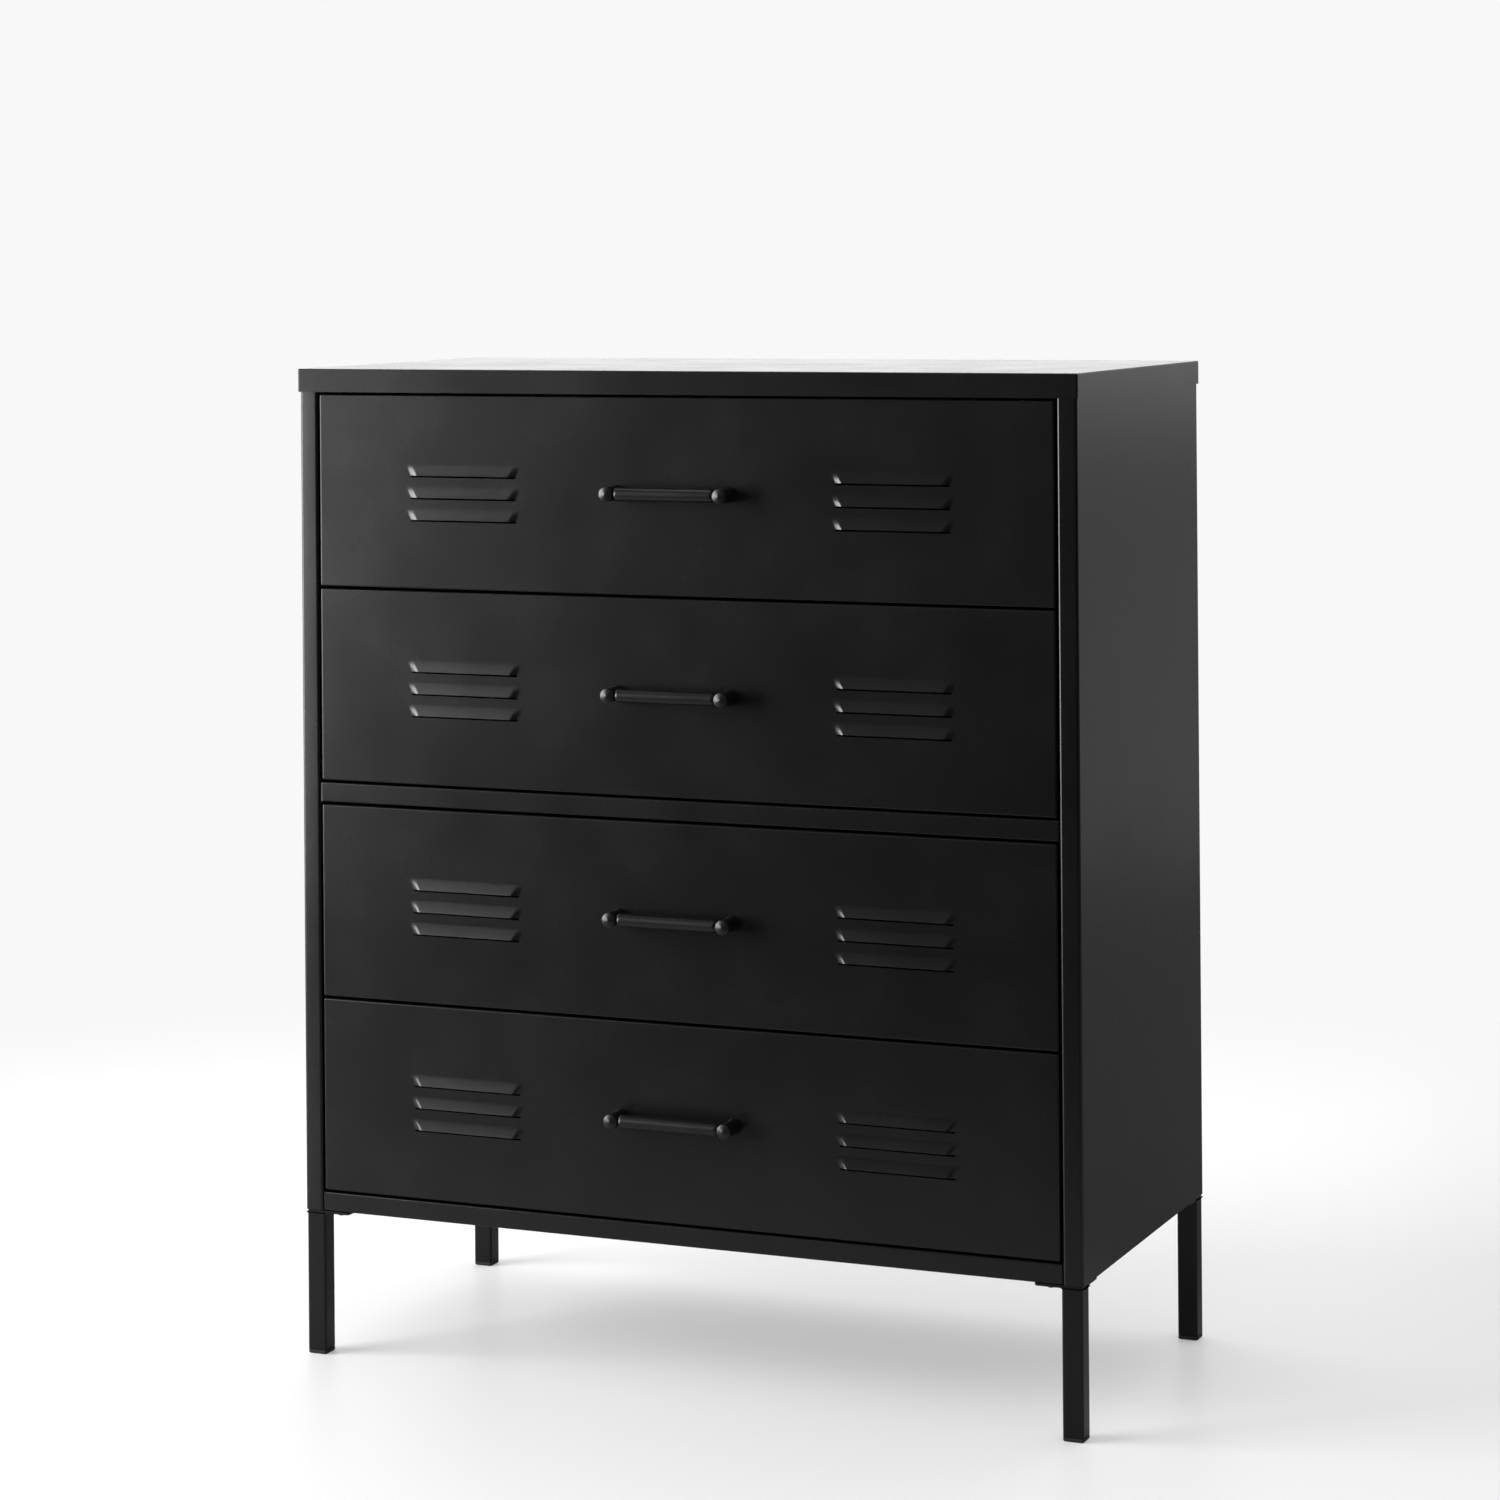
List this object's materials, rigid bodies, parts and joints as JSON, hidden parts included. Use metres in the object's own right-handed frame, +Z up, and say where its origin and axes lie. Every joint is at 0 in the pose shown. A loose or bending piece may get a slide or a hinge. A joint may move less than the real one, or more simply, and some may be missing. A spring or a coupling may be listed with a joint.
{
  "type": "tall chest of drawers",
  "caption": "Tall chest of drawers in folded black sheet steel, with louvred drawer fronts, bar handles, ball runners and slim square legs.",
  "frame": {"origin": "centre of the footprint on the floor, handles counted in", "axes": "+Z up, the drawer fronts face -Y, +X to the right of someone facing the chest"},
  "size_m": [0.8, 0.4264, 0.97],
  "materials": {
    "black_powder_coat": "satin black powder coat with a very fine grain, on folded sheet steel",
    "leg_powder_coat": "satin black powder coat on square steel tube",
    "tray_powder_coat": "matt black powder coat on the drawer trays",
    "handle_enamel": "smooth semi-gloss black enamel on turned bar handles",
    "foot_plastic": "moulded matt black plastic",
    "zinc_runner": "bright zinc plate on rolled steel",
    "zinc_cage": "zinc plate on thin pressed steel",
    "zinc_screw": "zinc plated cold-headed screw"
  },
  "bodies": {
    "cabinet": {"top_panel": "black_powder_coat", "back_panel": "black_powder_coat", "bottom_panel": "black_powder_coat", "middle_shelf": "black_powder_coat", "left_side_panel": "black_powder_coat", "front_left_leg": "leg_powder_coat", "front_left_foot_cap": "foot_plastic", "rear_left_leg": "leg_powder_coat", "rear_left_foot_cap": "foot_plastic", "right_side_panel": "black_powder_coat", "front_right_leg": "leg_powder_coat", "front_right_foot_cap": "foot_plastic", "rear_right_leg": "leg_powder_coat", "rear_right_foot_cap": "foot_plastic", "drawer_1_runner_outer_left": "zinc_runner", "drawer_1_runner_outer_right": "zinc_runner", "drawer_2_runner_outer_left": "zinc_runner", "drawer_2_runner_outer_right": "zinc_runner", "drawer_3_runner_outer_left": "zinc_runner", "drawer_3_runner_outer_right": "zinc_runner", "drawer_4_runner_outer_left": "zinc_runner", "drawer_4_runner_outer_right": "zinc_runner"},
    "drawer_1": {"drawer_1_front": "black_powder_coat", "drawer_1_tray": "tray_powder_coat", "drawer_1_handle": "handle_enamel", "drawer_1_handle_screw_left": "zinc_screw", "drawer_1_runner_inner_left": "zinc_runner", "drawer_1_handle_screw_right": "zinc_screw", "drawer_1_runner_inner_right": "zinc_runner"},
    "drawer_1_ball_cages": {"drawer_1_runner_cage_left": "zinc_cage", "drawer_1_runner_cage_right": "zinc_cage"},
    "drawer_2": {"drawer_2_front": "black_powder_coat", "drawer_2_tray": "tray_powder_coat", "drawer_2_handle": "handle_enamel", "drawer_2_handle_screw_left": "zinc_screw", "drawer_2_runner_inner_left": "zinc_runner", "drawer_2_handle_screw_right": "zinc_screw", "drawer_2_runner_inner_right": "zinc_runner"},
    "drawer_2_ball_cages": {"drawer_2_runner_cage_left": "zinc_cage", "drawer_2_runner_cage_right": "zinc_cage"},
    "drawer_3": {"drawer_3_front": "black_powder_coat", "drawer_3_tray": "tray_powder_coat", "drawer_3_handle": "handle_enamel", "drawer_3_handle_screw_left": "zinc_screw", "drawer_3_runner_inner_left": "zinc_runner", "drawer_3_handle_screw_right": "zinc_screw", "drawer_3_runner_inner_right": "zinc_runner"},
    "drawer_3_ball_cages": {"drawer_3_runner_cage_left": "zinc_cage", "drawer_3_runner_cage_right": "zinc_cage"},
    "drawer_4": {"drawer_4_front": "black_powder_coat", "drawer_4_tray": "tray_powder_coat", "drawer_4_handle": "handle_enamel", "drawer_4_handle_screw_left": "zinc_screw", "drawer_4_runner_inner_left": "zinc_runner", "drawer_4_handle_screw_right": "zinc_screw", "drawer_4_runner_inner_right": "zinc_runner"},
    "drawer_4_ball_cages": {"drawer_4_runner_cage_left": "zinc_cage", "drawer_4_runner_cage_right": "zinc_cage"}
  },
  "joints": [
    {"name": "drawer_1_slide", "type": "slide", "parent": "cabinet", "child": "drawer_1", "axis": [0, -1, 0], "range_m": [0, 0.262]},
    {"name": "drawer_1_cage_slide", "type": "slide", "parent": "cabinet", "child": "drawer_1_ball_cages", "axis": [0, -1, 0], "range_m": [0, 0.131]},
    {"name": "drawer_2_slide", "type": "slide", "parent": "cabinet", "child": "drawer_2", "axis": [0, -1, 0], "range_m": [0, 0.262]},
    {"name": "drawer_2_cage_slide", "type": "slide", "parent": "cabinet", "child": "drawer_2_ball_cages", "axis": [0, -1, 0], "range_m": [0, 0.131]},
    {"name": "drawer_3_slide", "type": "slide", "parent": "cabinet", "child": "drawer_3", "axis": [0, -1, 0], "range_m": [0, 0.262]},
    {"name": "drawer_3_cage_slide", "type": "slide", "parent": "cabinet", "child": "drawer_3_ball_cages", "axis": [0, -1, 0], "range_m": [0, 0.131]},
    {"name": "drawer_4_slide", "type": "slide", "parent": "cabinet", "child": "drawer_4", "axis": [0, -1, 0], "range_m": [0, 0.262]},
    {"name": "drawer_4_cage_slide", "type": "slide", "parent": "cabinet", "child": "drawer_4_ball_cages", "axis": [0, -1, 0], "range_m": [0, 0.131]}
  ],
  "couplings": [
    {"joint": "drawer_1_cage_slide", "follows": "drawer_1_slide", "ratio": 0.5},
    {"joint": "drawer_2_cage_slide", "follows": "drawer_2_slide", "ratio": 0.5},
    {"joint": "drawer_3_cage_slide", "follows": "drawer_3_slide", "ratio": 0.5},
    {"joint": "drawer_4_cage_slide", "follows": "drawer_4_slide", "ratio": 0.5}
  ]
}
